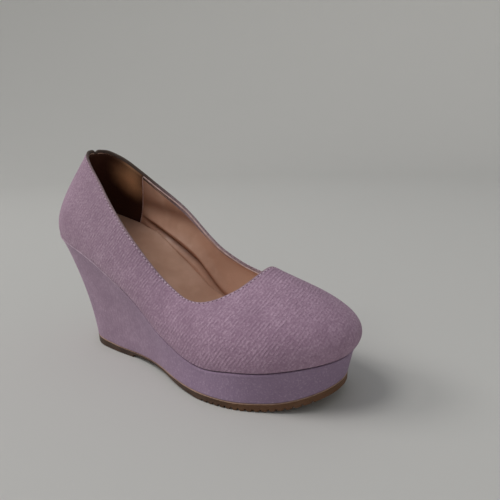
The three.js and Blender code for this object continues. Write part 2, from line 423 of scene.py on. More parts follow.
def by_length(grid, wanted):
    """Each rib of a grid read again at wanted distances from its foot, one row of them a row."""
    steps = np.linalg.norm(np.diff(grid, axis=0), axis=-1)
    length = np.vstack([np.zeros(grid.shape[1]), np.cumsum(steps, axis=0)])
    made = np.empty((wanted.shape[0], grid.shape[1], 3))
    for k in range(grid.shape[1]):
        for axis in range(3):
            made[:, k, axis] = np.interp(wanted[:, k], length[:, k], grid[:, k, axis])
    return made


def rib_lengths(grid):
    return np.linalg.norm(np.diff(grid, axis=0), axis=-1).sum(axis=0)


def bell(distance, width):
    return np.exp(-(distance / width)**2)


def ease(value, start, end):
    t = np.clip((value - start) / (end - start), 0, 1)
    return t * t * (3 - 2 * t)


# Meshes

def add_mesh(name, vertices, faces, materials, slots=None, shade=None):
    mesh = bpy.data.meshes.new(name)
    mesh.from_pydata((vertices + [AXIS_X, AXIS_Y, 0]).tolist(), [], faces)
    for material in materials:
        mesh.materials.append(material)
    if slots is not None:
        mesh.polygons.foreach_set("material_index", slots)
    if shade is not None:
        mesh.attributes.new("shade", "FLOAT", "POINT").data.foreach_set("value", shade.ravel())
    mesh.shade_smooth()
    piece = bpy.data.objects.new(name, mesh)
    bpy.context.scene.collection.objects.link(piece)
    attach(piece, "root")
    return piece


def grid_faces(rows, columns, closed, start=0):
    """Quads that face outwards, between rows that run round a loop."""
    across_count = columns if closed else columns - 1
    faces = []
    for row in range(rows - 1):
        low = start + row * columns
        high = low + columns
        for k in range(across_count):
            after = (k + 1) % columns
            faces.append((low + k, low + after, high + after, high + k))
    return faces


def add_shell(name, grid, materials, closed=True, row_slots=None, shade=None):
    rows, columns = grid.shape[:2]
    faces = grid_faces(rows, columns, closed)
    slots = None
    if row_slots is not None:
        slots = np.repeat(row_slots, len(faces) // (rows - 1)).astype(np.int32)
    return add_mesh(name, grid.reshape(-1, 3), faces, materials, slots, shade)


def subside(ring, share, level):
    """The ring drawn in towards the line between its two sides, at another level."""
    partner = ring[(-np.arange(len(ring))) % len(ring)]
    middle = (ring + partner) / 2
    drawn = lerp(ring, middle, share)
    drawn[:, 2] = level(drawn[:, 0])
    return drawn


# Node materials

class Nodes:
    """A material's node tree, with short calls for the nodes that the finishes share."""

    def __init__(self, name, **sockets):
        self.material = bpy.data.materials.new(name)
        self.material.use_nodes = True
        self.tree = self.material.node_tree
        self.shader = self.tree.nodes["Principled BSDF"]
        for socket, value in sockets.items():
            label = socket.replace("_", " ").title().replace("Ior", "IOR")
            self.shader.inputs[label].default_value = value
        self.place = self.tree.nodes.new("ShaderNodeTexCoord").outputs["Object"]

    def node(self, kind, inputs=(), **settings):
        made = self.tree.nodes.new("ShaderNode" + kind)
        for name, value in settings.items():
            setattr(made, name, value)
        for socket, value in dict(inputs).items():
            if isinstance(value, bpy.types.NodeSocket):
                self.tree.links.new(value, made.inputs[socket])
            else:
                made.inputs[socket].default_value = value
        return made

    def math(self, operation, *values):
        return self.node("Math", enumerate(values), operation=operation).outputs[0]

    def noise(self, size, detail=3.0, place=None, roughness=0.5):
        inputs = {"Vector": place or self.place, "Scale": 1 / size, "Detail": detail, "Roughness": roughness}
        return self.node("TexNoise", inputs).outputs["Fac"]

    def stretched(self, scale):
        return self.node("Mapping", {"Vector": self.place, "Scale": scale}).outputs["Vector"]

    def between(self, value, low, high, to_low=0.0, to_high=1.0):
        inputs = {"Value": value, "From Min": low, "From Max": high, "To Min": to_low, "To Max": to_high}
        return self.node("MapRange", inputs, interpolation_type="SMOOTHSTEP").outputs["Result"]

    def mix(self, share, first, second):
        made = self.node("Mix", {0: share, 6: first, 7: second}, data_type="RGBA")
        return made.outputs[2]

    def level(self, normal):
        """Distance along a direction, in metres."""
        made = self.node("VectorMath", {0: self.place, 1: normal}, operation="DOT_PRODUCT")
        return made.outputs["Value"]

    def along_shoe(self, start, end, at_start=0.0, at_end=1.0):
        """A smooth change between two places, given as shares of the length."""
        low = AXIS_X + start * LENGTH
        high = AXIS_X + end * LENGTH
        return self.between(self.level((1, 0, 0)), low, high, at_start, at_end)

    def color(self, value):
        self.tree.links.new(value, self.shader.inputs["Base Color"])

    def roughness(self, value):
        self.tree.links.new(value, self.shader.inputs["Roughness"])

    def bump(self, height, distance, strength):
        inputs = {"Height": height, "Distance": distance, "Strength": strength}
        made = self.node("Bump", inputs)
        self.tree.links.new(made.outputs["Normal"], self.shader.inputs["Normal"])


def rgb(red, green, blue):
    """A linear colour from the sRGB values that a picture shows."""
    def linear(value):
        value /= 255
        return value / 12.92 if value <= 0.04045 else ((value + 0.055) / 1.055)**2.4
    return (linear(red), linear(green), linear(blue), 1.0)


def microsuede(name, light, dark, pale, greyed, grain_depth):
    """Napped cloth: fine flecks and short slanting rows of pile, with pale worn tips. It is
    rubbed smoother and a little grey round the heel."""
    nodes = Nodes(name, roughness=0.92, sheen_weight=0.18, sheen_roughness=0.45,
                  specular_ior_level=0.2)
    nodes.shader.inputs["Sheen Tint"].default_value = rgb(226, 206, 220)
    brushed = nodes.noise(16 * MM, 3.0, roughness=0.55)
    mottles = nodes.noise(3.6 * MM, 2.0)
    flecks = nodes.noise(1.2 * MM, 4.0, roughness=0.7)
    fuzz = nodes.noise(0.5 * MM, 2.0)
    waver = nodes.noise(13 * MM, 2.0)
    slant = unit(np.array(GRAIN_SLANT)) * 2 * math.pi / GRAIN_PITCH
    phase = nodes.math("MULTIPLY_ADD", waver, GRAIN_WAVER, nodes.level(tuple(slant)))
    pile = nodes.between(nodes.math("SINE", phase), -0.8, 0.8)
    broken = nodes.between(nodes.noise(2.6 * MM, 3.0), 0.36, 0.6, 0.0, 1.0)
    before_heel = nodes.along_shoe(0.04, 0.34, 0.2, 1.0)
    behind_toe = nodes.along_shoe(0.86, 1.0, 1.0, 0.3)
    shown = nodes.math("MULTIPLY", before_heel, behind_toe)
    rows = nodes.math("MULTIPLY", nodes.math("MULTIPLY", pile, broken), shown)
    shade = nodes.mix(nodes.between(brushed, 0.3, 0.7, 0.3, 0.75), dark, light)
    shade = nodes.mix(nodes.along_shoe(0.3, 0.6, 0.35, 0.0), shade, greyed)
    shade = nodes.mix(nodes.between(mottles, 0.3, 0.6, 0.3, 0.0), shade, dark)
    shade = nodes.mix(nodes.between(flecks, 0.34, 0.6, 0.75, 0.0), shade, dark)
    shade = nodes.mix(nodes.math("MULTIPLY_ADD", rows, -0.3, 0.3), shade, dark)
    tips = nodes.math("MULTIPLY_ADD", rows, 0.1, nodes.between(flecks, 0.5, 0.75, 0.0, 0.35))
    nodes.color(nodes.mix(tips, shade, pale))
    nap = nodes.math("MULTIPLY_ADD", fuzz, 0.35, nodes.math("MULTIPLY", flecks, 0.7))
    nodes.bump(nodes.math("MULTIPLY_ADD", rows, 0.65, nap), grain_depth, 0.8)
    return nodes.material


def wrap_microsuede(name, light, dark, pale, soil_and_shade):
    """The wedge's cloth is drawn tight: a smoother nap with faint upright streaks, painted darker
    more and more towards the toe, partly as shade under the vamp's overhang and partly as soil."""
    nodes = Nodes(name, roughness=0.92, sheen_weight=0.18, sheen_roughness=0.45,
                  specular_ior_level=0.2)
    nodes.shader.inputs["Sheen Tint"].default_value = rgb(222, 206, 224)
    brushed = nodes.noise(20 * MM, 3.0, roughness=0.55)
    streaks = nodes.noise(1.2 * MM, 3.0, nodes.stretched((1.0, 1.0, 0.4)))
    flecks = nodes.noise(1.0 * MM, 3.0, roughness=0.6)
    shade = nodes.mix(nodes.between(brushed, 0.3, 0.7, 0.25, 0.75), dark, light)
    shade = nodes.mix(nodes.between(streaks, 0.35, 0.65, 0.6, 0.0), shade, dark)
    # Painted shade, partly soil: the cloth darkens towards the toe, where the platform lies under the vamp's
    # overhang and faces away from the light
    shade = nodes.mix(nodes.along_shoe(0.2, 0.85, 0.0, 0.75), shade, soil_and_shade)
    nodes.color(nodes.mix(nodes.between(flecks, 0.5, 0.75, 0.0, 0.35), shade, pale))
    nodes.bump(nodes.math("MULTIPLY_ADD", streaks, 0.5, flecks), 0.24 * MM, 0.8)
    return nodes.material


def fold_skin(name, light, dark, soil_and_shade):
    """The cloth turned over the topline: soiled and painted in shade round the heel, paler towards the
    throat.
    """
    nodes = Nodes(name, roughness=0.9, sheen_weight=0.12, specular_ior_level=0.2)
    flecks = nodes.noise(1.2 * MM, 3.0, roughness=0.6)
    shade = nodes.mix(nodes.between(flecks, 0.35, 0.65), dark, light)
    ahead = nodes.math("MULTIPLY_ADD", nodes.noise(8 * MM, 2.0), 12 * MM, nodes.level((1, -1, 0)))
    axis_start = AXIS_X - AXIS_Y
    free_of_soil_and_shade = nodes.between(ahead, axis_start + SOIL_AND_SHADE_TO, axis_start + SOIL_AND_SHADE_GONE_FROM)
    # Towards the heel the fold is mixed to a dark colour that is partly soil and partly painted shade, where
    # the turned edge lies in shadow
    nodes.color(nodes.mix(free_of_soil_and_shade, soil_and_shade, shade))
    nodes.bump(flecks, 0.12 * MM, 0.7)
    return nodes.material


def lining_skin(name, light, dark, pale_tone, crease, gloss):
    """Thin smooth lining: faint pores, slow changes of tone, a dull gloss, painted shade in its
    creases and painted light towards the throat.
    """
    nodes = Nodes(name, roughness=0.5, specular_ior_level=0.35)
    tone = nodes.noise(22 * MM, 3.0)
    pores = nodes.noise(0.7 * MM, 3.0)
    rubbed_and_lit = nodes.noise(9 * MM, 4.0)
    painted_crease_shade = nodes.node("Attribute", attribute_name="shade").outputs["Fac"]
    shade = nodes.mix(nodes.between(tone, 0.35, 0.65), dark, light)
    shade = nodes.mix(nodes.between(rubbed_and_lit, 0.5, 0.75, 0.0, 0.3), shade, pale_tone)
    # Painted light: lining and sock turn paler towards the throat, where light falls in
    shade = nodes.mix(nodes.along_shoe(0.46, 0.66, 0.0, 0.9), shade, pale_tone)
    # Painted shade: the crease's shade attribute darkens the groove under the roll and the trough above it
    shade = nodes.mix(painted_crease_shade, shade, crease)
    nodes.color(nodes.mix(nodes.between(pores, 0.3, 0.5, 0.12, 0.0), shade, dark))
    nodes.roughness(nodes.between(rubbed_and_lit, 0.3, 0.7, gloss + 0.08, gloss - 0.06))
    nodes.bump(pores, 0.06 * MM, 0.5)
    return nodes.material


def heel_lining_skin(name, rubbed_and_lit, dark, pale_tone):
    """Soft dark brown heel lining, with a painted pool of light on both sides, where light falls in at its
    front.
    """
    nodes = Nodes(name, roughness=0.8, specular_ior_level=0.2)
    pores = nodes.noise(0.8 * MM, 3.0)
    middle = (AXIS_X + LIT_PATCH_ALONG, 0, LIT_PATCH_HEIGHT)
    side_view = nodes.stretched((1.0, 0.0, 1.0))
    measured = nodes.node("VectorMath", {0: side_view, 1: middle}, operation="DISTANCE")
    away = nodes.math("MULTIPLY_ADD", nodes.noise(9 * MM, 3.0), 5 * MM, measured.outputs["Value"])
    # Painted light: the lit patch's pale colour fades into the dark brown away from its middle
    shade = nodes.mix(nodes.between(away, LIT_PATCH_CORE, LIT_PATCH_CORE + LIT_PATCH_REACH), rubbed_and_lit, dark)
    nodes.color(nodes.mix(nodes.between(pores, 0.45, 0.7, 0.0, 0.15), shade, pale_tone))
    nodes.bump(pores, 0.08 * MM, 0.6)
    return nodes.material


def plain_thread(name, colour, dark):
    nodes = Nodes(name, roughness=0.8, sheen_weight=0.2)
    nodes.color(nodes.mix(nodes.between(nodes.noise(3 * MM, 2.0), 0.35, 0.65), dark, colour))
    nodes.bump(nodes.noise(0.25 * MM, 2.0), 0.06 * MM, 0.6)
    return nodes.material


def sole_rubber(name, light, dark, dust, forefoot):
    """Moulded rubber, a little scuffed, dusty in its hollows and rubbed paler at the forefoot."""
    nodes = Nodes(name, roughness=0.6, specular_ior_level=0.4)
    tone = nodes.noise(12 * MM, 4.0)
    scuffs = nodes.noise(2.2 * MM, 4.0, nodes.stretched((0.35, 0.35, 1.6)), 0.6)
    grit = nodes.noise(0.5 * MM, 2.0)
    shade = nodes.mix(nodes.between(tone, 0.35, 0.65), dark, light)
    shade = nodes.mix(nodes.along_shoe(0.68, 0.85, 0.0, 0.65), shade, forefoot)
    nodes.color(nodes.mix(nodes.between(scuffs, 0.52, 0.75, 0.0, 0.4), shade, dust))
    nodes.roughness(nodes.between(scuffs, 0.35, 0.7, 0.5, 0.78))
    nodes.bump(nodes.math("ADD", grit, scuffs), 0.1 * MM, 0.6)
    return nodes.material


LILAC = microsuede("lilac_microsuede",
                   rgb(204, 172, 195), rgb(152, 122, 144), rgb(228, 200, 220), rgb(186, 166, 176),
                   0.38 * MM)
# The third colour is the heel end's mix of soil and painted shade
LILAC_FOLD = fold_skin("lilac_microsuede_fold",
                       rgb(172, 147, 154), rgb(140, 117, 122), rgb(88, 74, 68))
LILAC_WRAP = wrap_microsuede("lilac_microsuede_wrap",
                             rgb(191, 164, 184), rgb(150, 125, 145), rgb(216, 193, 212),
                             rgb(144, 123, 150))
TAN = lining_skin("tan_lining",
                  rgb(214, 168, 144), rgb(199, 153, 129), rgb(236, 196, 172), rgb(112, 66, 48), 0.46)
TAN_SOCK = lining_skin("tan_sock",
                       rgb(216, 175, 153), rgb(200, 158, 135), rgb(222, 184, 162), rgb(112, 66, 48),
                       0.42)
# The first colour is the painted pool of light on the heel lining
BROWN_LINING = heel_lining_skin("brown_heel_lining",
                                rgb(238, 180, 134), rgb(64, 35, 24), rgb(110, 74, 52))
LINING_GROOVE_SHADOW = plain_thread("lining_groove_shadow", rgb(64, 38, 30), rgb(48, 28, 22))
PALE_EDGE = plain_thread("pale_lining_edge", rgb(222, 192, 188), rgb(194, 163, 157))
THREAD = plain_thread("lilac_thread", rgb(228, 206, 222), rgb(198, 172, 190))
WRAP_EDGE_HIGHLIGHT = plain_thread("wrap_edge_highlight", rgb(196, 172, 188), rgb(172, 148, 166))
NEEDLE_HOLE_SHADE = plain_thread("needle_hole_shade", rgb(94, 70, 80), rgb(78, 56, 64))
RUBBER = sole_rubber("brown_rubber",
                     rgb(88, 64, 48), rgb(60, 42, 33), rgb(120, 94, 68), rgb(118, 80, 50))
RUBBER_EDGE = sole_rubber("tan_rubber_edge",
                          rgb(192, 158, 138), rgb(160, 126, 108), rgb(198, 168, 150),
                          rgb(204, 172, 152))


# Upper

SKIN_STATIONS = stations(720)


def upper_ribs(places):
    return rib_points(places[None, :], np.linspace(0, 1, RIB_ROWS)[:, None])


def top_lengths(places, ribs):
    """Rib lengths up to the topline, which dips at the back seam between two low lobes."""
    beside = np.abs(topline(places)[:, 1]) + (np.abs(places) > 0.5)
    dip = BACK_NOTCH * bell(beside, 1.1 * MM) - 0.35 * MM * bell(beside - 3 * MM, 1.8 * MM)
    return rib_lengths(ribs) - dip


def skin_relief(grid, above, below):
    """How far the cloth stands out: tucked in at the feather line, sewn near the topline, drawn
    in along the back seam, and a little uneven where it was pulled over the last."""
    x, y, z = grid[..., 0], grid[..., 1], grid[..., 2]
    radius = lerp(TUCK_RADIUS_AT_HEEL, TUCK_RADIUS_IN_FRONT, ease(x, 0.40 * LENGTH, 0.58 * LENGTH))
    sunk = np.clip(1 - above / radius, 0, 1)
    relief = -radius * (1 - np.sqrt(1 - sunk**2 * 0.98))
    relief -= STITCH_PULL * bell(below - STITCH_INSET, 0.5 * MM)
    relief += 0.12 * MM * bell(below - STITCH_INSET - 1.6 * MM, 0.9 * MM)
    at_back = ease(x, 0.2 * LENGTH, 0.1 * LENGTH)
    relief -= at_back * SEAM_PULL * bell(y, SEAM_WIDTH)
    relief += at_back * 0.16 * MM * bell(np.abs(y) - 1.7 * MM, 0.9 * MM)
    pull = np.sin(x / (9.5 * MM) + 2.1 * np.sin(z / (13 * MM))) * np.sin(z / (11 * MM) + y / (17 * MM))
    relief += UPPER_WAVE * pull * ease(below, 3 * MM, 12 * MM) * ease(above, 2 * MM, 10 * MM)
    dents = bell(x - 0.62 * LENGTH, 11 * MM) * bell(above - 9 * MM, 5 * MM)
    dents += 0.8 * bell(x - 0.30 * LENGTH, 14 * MM) * bell(above - 16 * MM, 7 * MM)
    return relief - DENT_DEPTH * dents * (y < 0)


def skin_rows(top):
    """Distances up the ribs: close together at the tucked foot and at the sewn topline."""
    low = np.array([0, 0.06, 0.15, 0.3, 0.5, 0.75, 1.0, 1.3]) * MM
    high = np.arange(4.0, FOLD_RADIUS / MM - 0.01, -0.28) * MM
    middle = np.linspace(0, 1, 66)[1:-1, None]
    rows = [np.repeat(low[:, None], len(top), 1)]
    rows.append(lerp(1.3 * MM, top - 4.0 * MM, middle))
    rows.append(top - high[:, None])
    rows.append((top - FOLD_RADIUS)[None, :])
    return np.vstack(rows)


def add_upper():
    places = SKIN_STATIONS
    ribs = upper_ribs(places)
    top = top_lengths(places, ribs)
    above = skin_rows(top)
    grid = by_length(ribs, above)
    normals = grid_normals(grid)
    grid = grid + normals * skin_relief(grid, above, top - above)[..., None]
    skin = add_shell("upper_skin", grid, [LILAC])
    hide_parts("upper")

    normal = unit(normals[-1])
    rise = unit(grid[-1] - grid[-3])
    start = grid[-1]
    turns = np.linspace(0, math.pi, 11)[:, None, None]
    centre = start - normal * FOLD_RADIUS
    arc = centre + FOLD_RADIUS * (normal * np.cos(turns) + rise * np.sin(turns))
    drops = np.linspace(0, FOLD_TURN_IN, 8)[1:, None, None]
    turned_in = arc[-1] - rise * drops
    fold = add_shell("topline_fold", np.vstack([arc, turned_in]), [LILAC_FOLD])
    add_stitches(ribs, top)


def spaced(curve, pitch):
    """Places along a closed curve at an even pitch, as fractional indices of its points."""
    closed = np.vstack([curve, curve[:1]])
    length = np.concatenate([[0], np.cumsum(np.linalg.norm(np.diff(closed, axis=0), axis=1))])
    count = int(length[-1] / pitch)
    return np.interp((np.arange(count) + 0.5) * length[-1] / count, length, np.arange(len(closed)))


def read_at(values, index):
    low = np.floor(index).astype(int) % len(values)
    share = (index % 1)[:, None]
    return lerp(values[low], values[(low + 1) % len(values)], share)


def bead(centre, forward, out, half_length, radius):
    """One small rounded bead, longer along forward."""
    aside = np.cross(forward, out)
    turn = np.linspace(0, 2 * math.pi, TUBE_SIDES, endpoint=False)
    rows = []
    for share in np.linspace(-0.98, 0.98, BEAD_RINGS):
        width = radius * (1 - share**4)**0.5
        ring = np.cos(turn)[:, None] * out + np.sin(turn)[:, None] * aside
        rows.append(centre + forward * share * half_length + ring * width)
    return np.array(rows)


def add_beads(name, centres, forward, out, half_length, radius, material):
    """A row of beads, pulled deeper into the cloth and so smaller round the heel."""
    vertices, faces = [], []
    shown = lerp(0.55, 1, ease(centres[:, 0], 0.18 * LENGTH, 0.36 * LENGTH))
    for centre, ahead, outward_of, share in zip(centres, forward, out, shown):
        rows = bead(centre, ahead, outward_of, half_length * share, radius * share)
        start = sum(len(block) for block in vertices)
        faces += grid_faces(rows.shape[0], rows.shape[1], True, start)
        last = start + (rows.shape[0] - 1) * rows.shape[1]
        faces.append(tuple(range(start + rows.shape[1] - 1, start - 1, -1)))
        faces.append(tuple(range(last, last + rows.shape[1])))
        vertices.append(rows.reshape(-1, 3))
    piece = add_mesh(name, np.vstack(vertices), faces, [material])


def add_stitches(ribs, top):
    """One row of stitches beside the topline, with a small dark bead of painted shade for the needle hole
    between each two.
    """
    above = top - np.array([[STITCH_INSET + 0.4 * MM], [STITCH_INSET], [STITCH_INSET - 0.4 * MM]])
    band = by_length(ribs, above)
    normals = grid_normals(band)[1]
    line = band[1] + normals * skin_relief(band[1:2], above[1:2], (top - above)[1:2])[0][:, None]
    index = spaced(line, STITCH_PITCH)
    forward = unit(np.roll(line, -1, axis=0) - np.roll(line, 1, axis=0))
    centres = read_at(line, index)
    out = unit(read_at(normals, index))
    ahead = unit(read_at(forward, index))
    add_beads("topline_stitches", centres + out * STITCH_LIFT, ahead, out,
              STITCH_LENGTH / 2, STITCH_RADIUS, THREAD)
    between = (index + np.roll(index, -1)) / 2
    between[-1] = (index[-1] + len(line)) / 2 % len(line)
    # Painted shade: dark beads stand for the shade inside the needle holes
    add_beads("needle_holes", read_at(line, between), unit(read_at(forward, between)),
              unit(read_at(normals, between)), HOLE_HALF_LENGTH, HOLE_RADIUS, NEEDLE_HOLE_SHADE)


# Lining

def crease(grid, foot_height, place):
    """The lining of the inner side lies loose. It rolls out over one long groove, and is drawn in
    again above the roll. Gives how far it stands out and how much painted shade its groove and
    the trough above it get."""
    at = grid[..., 0] / LENGTH
    inside = (at > CREASE["at"][0]) & (at < CREASE["at"][-1]) & (place < 0)
    at = np.clip(at, CREASE["at"][0], CREASE["at"][-1])
    depth = along(CREASE, "depth", at)
    groove, ridge, trough = (along(CREASE, name, at) for name in ("groove", "ridge", "trough"))
    over = foot_height - groove
    fallen = np.clip((foot_height - ridge) / CREASE_ROLL_HEIGHT, 0, 1)
    roll = np.sqrt(ease(over, 0, ridge - groove)) * (1 - fallen)**2
    lip = CREASE_LIP * ease(-over, 0, 5 * MM)
    fading = ease(at, 0.50, 0.40)
    drawn_in = CREASE_DRAWN_IN * bell(foot_height - trough, 5 * MM) * fading
    share = depth / CREASE["depth"].max()
    # Painted shade: dark where shade falls in the groove and in the soft trough above the ridge
    dark = 0.8 * bell(over - 0.6 * MM, 2.3 * MM) * share**0.5
    dark = dark + 0.55 * bell(foot_height - trough, 4.5 * MM) * fading * share**0.5
    relief = depth * (roll + lip - drawn_in)
    return np.where(inside, relief, 0), np.where(inside, np.clip(dark, 0, 1), 0)


def lining_drop(x):
    """The lining ends lower below the topline round the heel than in front of it."""
    forward = ease(x, LINING_DROP_FROM, LINING_DROP_TO)
    return lerp(LINING_DROP_AT_HEEL, LINING_DROP_IN_FRONT, forward)


def lining_grid(places, ribs, top):
    """The lining from its edge, just under the topline, down to the insole."""
    steps_down = np.array([0, 0.25, 0.5, 0.9, 1.4, 2.0, 2.8, 3.8])[:, None] * MM
    drops = steps_down + lining_drop(topline(places)[:, 0])
    low = 1.5 * MM
    shares = np.linspace(0, 1, 70)[:, None]
    above = np.vstack([top - drops, lerp(top - drops[-1] - 1 * MM, low, shares)])[::-1]
    outer = by_length(ribs, above)
    normals = grid_normals(outer)
    foot_height = outer[..., 2] - last_height(outer[..., 0] / LENGTH)
    relief, shade = crease(outer, foot_height, places[None, :])
    depth = LINING_DEPTH + relief
    wave = np.sin(outer[..., 0] / (12 * MM)) * np.sin(outer[..., 2] / (9 * MM) + outer[..., 1] / (20 * MM))
    depth = depth + LINING_WAVE * (1 + wave)
    depth[-1] = UPPER_WALL - 0.1 * MM
    return outer - normals * depth[..., None], outer, normals, shade


def heel_lining_limit(share, side):
    """The place on a rib row where the front edge of the heel lining crosses it."""
    places = side * np.linspace(0.02, 0.6, 400)
    row = rib_points(places, np.full(len(places), share))
    (x0, z0), (x1, z1) = HEEL_LINING_FOOT, HEEL_LINING_HEAD
    past = row[:, 0] - lerp(x0, x1, (row[:, 2] - z0) / (z1 - z0))
    return np.interp(0, past, places * side) * side


def heel_lining_grid():
    shares = np.linspace(HEEL_LINING_BASE, HEEL_LINING_TOP, HEEL_LINING_ROWS)
    spread = np.concatenate([[0, 0.002], np.linspace(0.006, 0.994, 116), [0.998, 1]])
    places = np.empty((len(shares), len(spread)))
    for k, share in enumerate(shares):
        places[k] = lerp(heel_lining_limit(share, -1), heel_lining_limit(share, 1), spread)
    outer = rib_points(places, shares[:, None])
    normals = grid_normals(outer, closed=False)
    depth = np.full(outer.shape[:2], LINING_DEPTH + HEEL_LINING_LIFT)
    depth[:, [0, -1]] = LINING_DEPTH - HEEL_LINING_TUCK
    depth[[0, -1], :] = LINING_DEPTH - HEEL_LINING_TUCK
    return outer - normals * depth[..., None], normals


def inside_out(grid):
    """The same grid with its rows the other way round, so that it faces into the shoe."""
    return grid[:, ::-1]


def add_lining():
    places = SKIN_STATIONS[::2]
    ribs = upper_ribs(places)
    grid, outer, normals, shade = lining_grid(places, ribs, top_lengths(places, ribs))
    row_slots = np.zeros(grid.shape[0] - 1)
    # Painted shadow: the rows just under the lining's edge take a dark strip for the shadow in the shallow
    # groove under its bead
    row_slots[-4:-1] = 1
    lining = add_shell("lining", inside_out(grid), [TAN, LINING_GROOVE_SHADOW], row_slots=row_slots,
                       shade=inside_out(shade))
    add_lining_bead(outer[-2], normals[-2])
    heel, normals = heel_lining_grid()
    piece = add_shell("heel_lining", inside_out(heel), [BROWN_LINING], closed=False)
    for name, column in (("heel_lining_edge_inner", 0), ("heel_lining_edge_outer", -1)):
        line = heel[1:-1, column] - normals[1:-1, column] * 0.45 * MM
        add_tube(name, line, normals[1:-1, column], 0.32 * MM, PALE_EDGE)


def add_lining_bead(ring, normals):
    """The lining's top edge is turned over a cord, in front of the heel lining."""
    line = ring - normals * (UPPER_WALL + 0.6 * LINING_BEAD)
    half = len(line) // 2
    in_front = np.roll(line[:, 0], half) > HEEL_LINING_HEAD[0] + 0.8 * MM
    line = np.roll(line, half, axis=0)[in_front]
    out = np.roll(normals, half, axis=0)[in_front]
    add_tube("lining_bead", line, out, LINING_BEAD, PALE_EDGE)


def add_tube(name, line, out, radius, material):
    """A thin round edge that follows a line of points on a surface with known normals."""
    forward = unit(np.gradient(line, axis=0))
    over = np.cross(forward, out)
    turn = np.linspace(0, 2 * math.pi, TUBE_SIDES, endpoint=False)[None, :, None]
    radius = np.broadcast_to(radius, len(line))[:, None, None]
    rings = line[:, None] + radius * (np.cos(turn) * out[:, None] + np.sin(turn) * over[:, None])
    piece = add_shell(name, rings, [material])


# Insole with its padded sock

def sock_rim(point):
    """Height of the sock's rim, which rises along the arch on the inner side."""
    at = point[:, 0] / LENGTH
    rise = SOCK_ARCH_RISE * ease(at, 0.20, 0.30) * ease(at, 0.54, 0.44) * (point[:, 1] > 0)
    return lerp(SOCK_RIM_AT_HEEL, SOCK_RIM_AT_BALL, ease(at, 0.25, 0.55)) + rise


def add_sock():
    """The sock's rim stands up against the lining, and its middle is pressed a little hollow."""
    places = stations(360)
    ribs = upper_ribs(places)
    below_rim = np.array([9, 6, 3, 1.6, 1.0, 0.6, 0.3, 0.1, 0]) * MM
    pulls = np.array([0, 0, 0, 0.03, 0.13, 0.33, 0.65, 1.1, 1.8]) * MM
    over_foot = ribs[..., 2] - last_height(ribs[..., 0] / LENGTH)
    relief = crease(ribs, over_foot, places[None, :])[0]
    wall = ribs - grid_normals(ribs) * (LINING_DEPTH + 0.45 * MM + relief)[..., None]
    over_foot = wall[..., 2] - last_height(wall[..., 0] / LENGTH)
    rim_height = sock_rim(feather(places))
    rows = []
    for drop, pull in zip(below_rim, pulls):
        height = np.maximum(rim_height - drop, 0)
        ring = np.empty((len(places), 3))
        for k in range(len(places)):
            for axis in range(3):
                ring[k, axis] = np.interp(height[k], over_foot[:50, k], wall[:50, k, axis])
        out = unit(np.roll(ring, -1, axis=0) - np.roll(ring, 1, axis=0))
        ring = ring - points(out[:, 1], -out[:, 0], 0) * pull
        ring[:, 2] = last_height(ring[:, 0] / LENGTH) + height
        rows.append(ring)
    rim = rows[-1]
    for share in (0.03, 0.08, 0.15, 0.24, 0.35, 0.48, 0.62, 0.77, 0.9, 1.0):
        dip = 1 - (1 - share)**2.5
        rows.append(subside(rim, share, lambda x, dip=dip: (
            last_height(x / LENGTH) + lerp(rim_height, INSOLE_THICKNESS - SOCK_HOLLOW, dip))))
    under = subside(rows[0], 1.0, lambda x: last_height(x / LENGTH))
    sock = add_shell("sock", np.array([under] + rows), [TAN_SOCK])
    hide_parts("insole")


# Wedge and platform, wrapped in cloth

def outsole_underside(at):
    rise = ARCH_CLEARANCE * along(OUTSOLE_RISE, "clearance", at)
    return np.maximum(0, rise + TOE_SPRING * along(OUTSOLE_RISE, "spring", at))


def outsole_top(at):
    return (LUG_THICKNESS * along(OUTSOLE_RISE, "top", at)
            + TOE_SPRING * along(OUTSOLE_RISE, "spring", at))


def edge_rounding(distance, radius):
    sunk = np.clip(1 - distance / radius, 0, 1)
    return radius * (1 - np.sqrt(1 - 0.98 * sunk**2))


